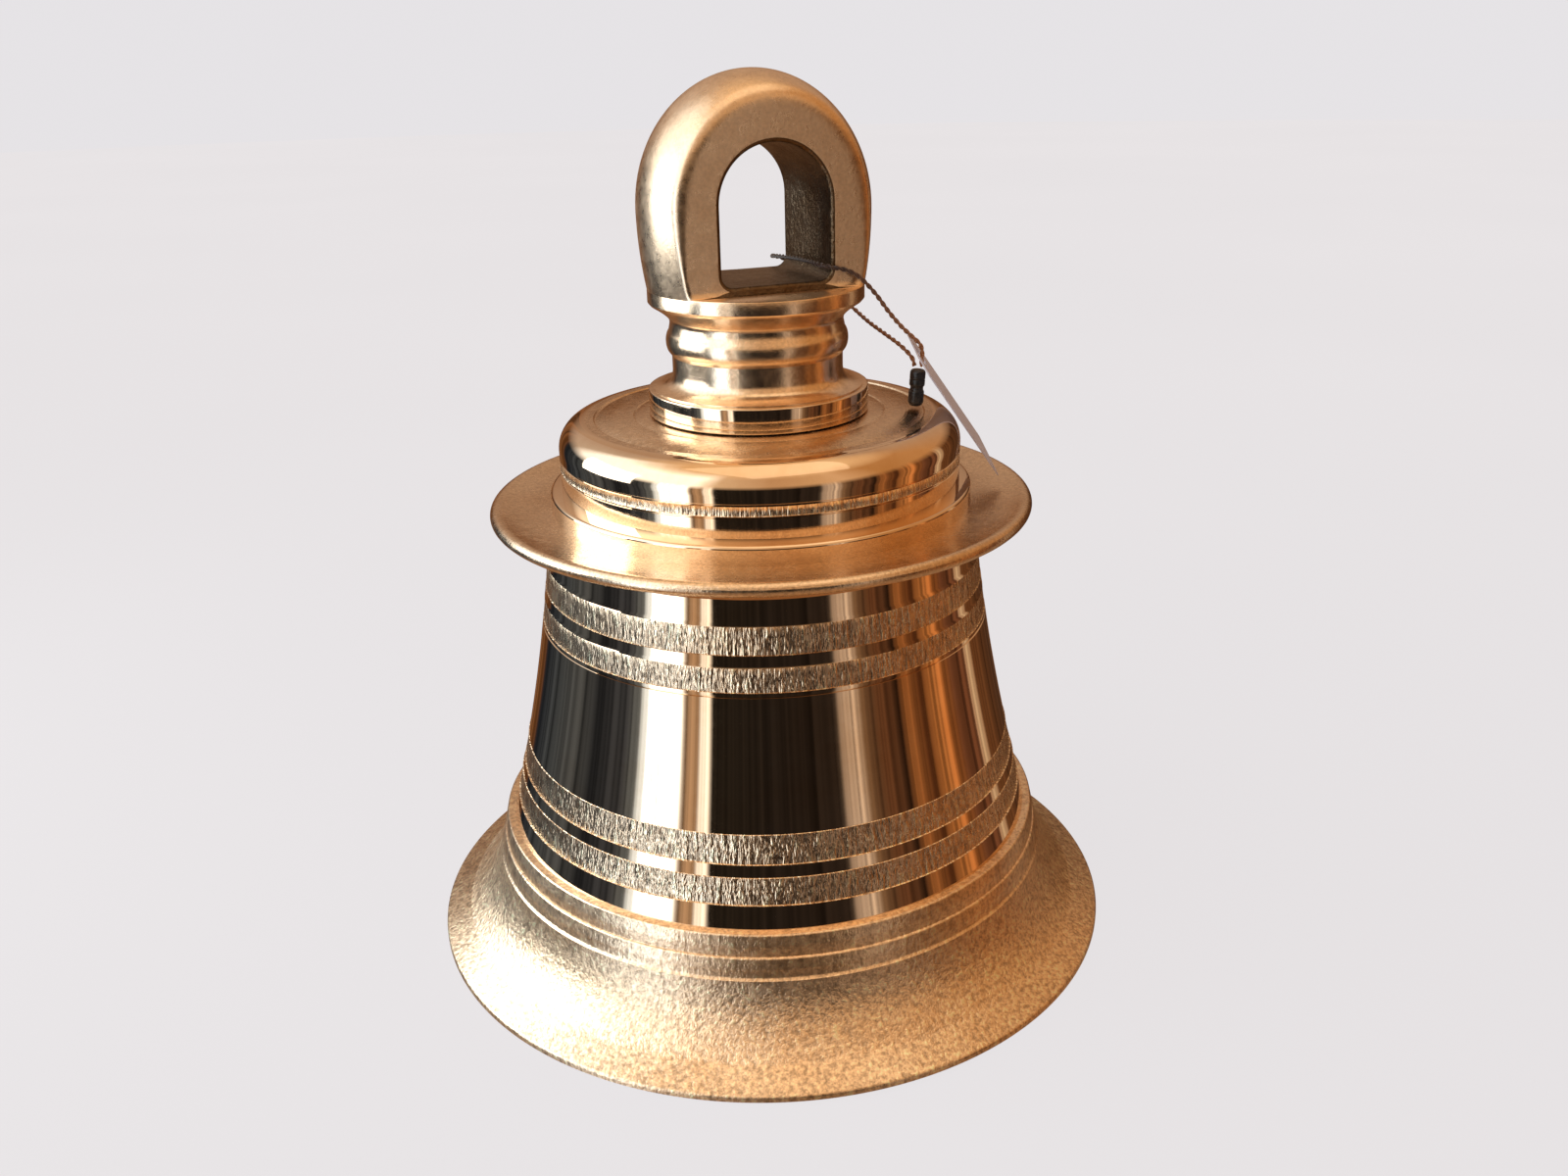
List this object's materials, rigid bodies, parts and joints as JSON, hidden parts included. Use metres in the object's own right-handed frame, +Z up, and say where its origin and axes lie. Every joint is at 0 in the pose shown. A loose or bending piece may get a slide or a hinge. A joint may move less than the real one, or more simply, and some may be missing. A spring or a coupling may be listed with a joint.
{
  "type": "temple bell",
  "caption": "Turned bronze temple bell with a flared lip, a flange, a crown eye to hang it by, a swinging clapper and a corded hang tag.",
  "frame": {"origin": "centre of the mouth, on the surface that the bell stands on", "axes": "+Z up along the bell's axis, from the mouth to the crown; the crown eye's hole runs along Y; +X is the side that the tag hangs on"},
  "size_m": [0.16, 0.16, 0.191],
  "materials": {
    "bell_bronze": "turned and polished, with matt turned bands",
    "crown_bronze": "turned and filed, half polished",
    "ball_bronze": "turned, dull",
    "fastener_steel": "zinc plated",
    "spring_steel": "blued",
    "forged_iron": "forged, dark",
    "cord_brown": "twisted waxed cord",
    "seal_black": "moulded",
    "card_white": "plain card"
  },
  "bodies": {
    "bell": {"bell_shell": "bell_bronze", "crown_eye": "crown_bronze", "head_washer": "fastener_steel", "spring_washer": "spring_steel", "head_nut": "fastener_steel", "clapper_staple": "forged_iron", "tag_cord": "cord_brown", "tag_seal": "seal_black", "tag_card": "card_white"},
    "link": {"clapper_link": "forged_iron"},
    "clapper": {"clapper_rod": "forged_iron", "clapper_ball": "ball_bronze", "tail_nut": "fastener_steel"}
  },
  "joints": [
    {"name": "clapper_swing", "type": "hinge", "parent": "bell", "child": "link", "pos_m": [0, 0, 0.0846], "axis": [0, 1, 0], "range_deg": [-36, 36]},
    {"name": "clapper_cross_swing", "type": "hinge", "parent": "link", "child": "clapper", "pos_m": [0, 0, 0.0724], "axis": [1, 0, 0], "range_deg": [-15, 15]}
  ]
}
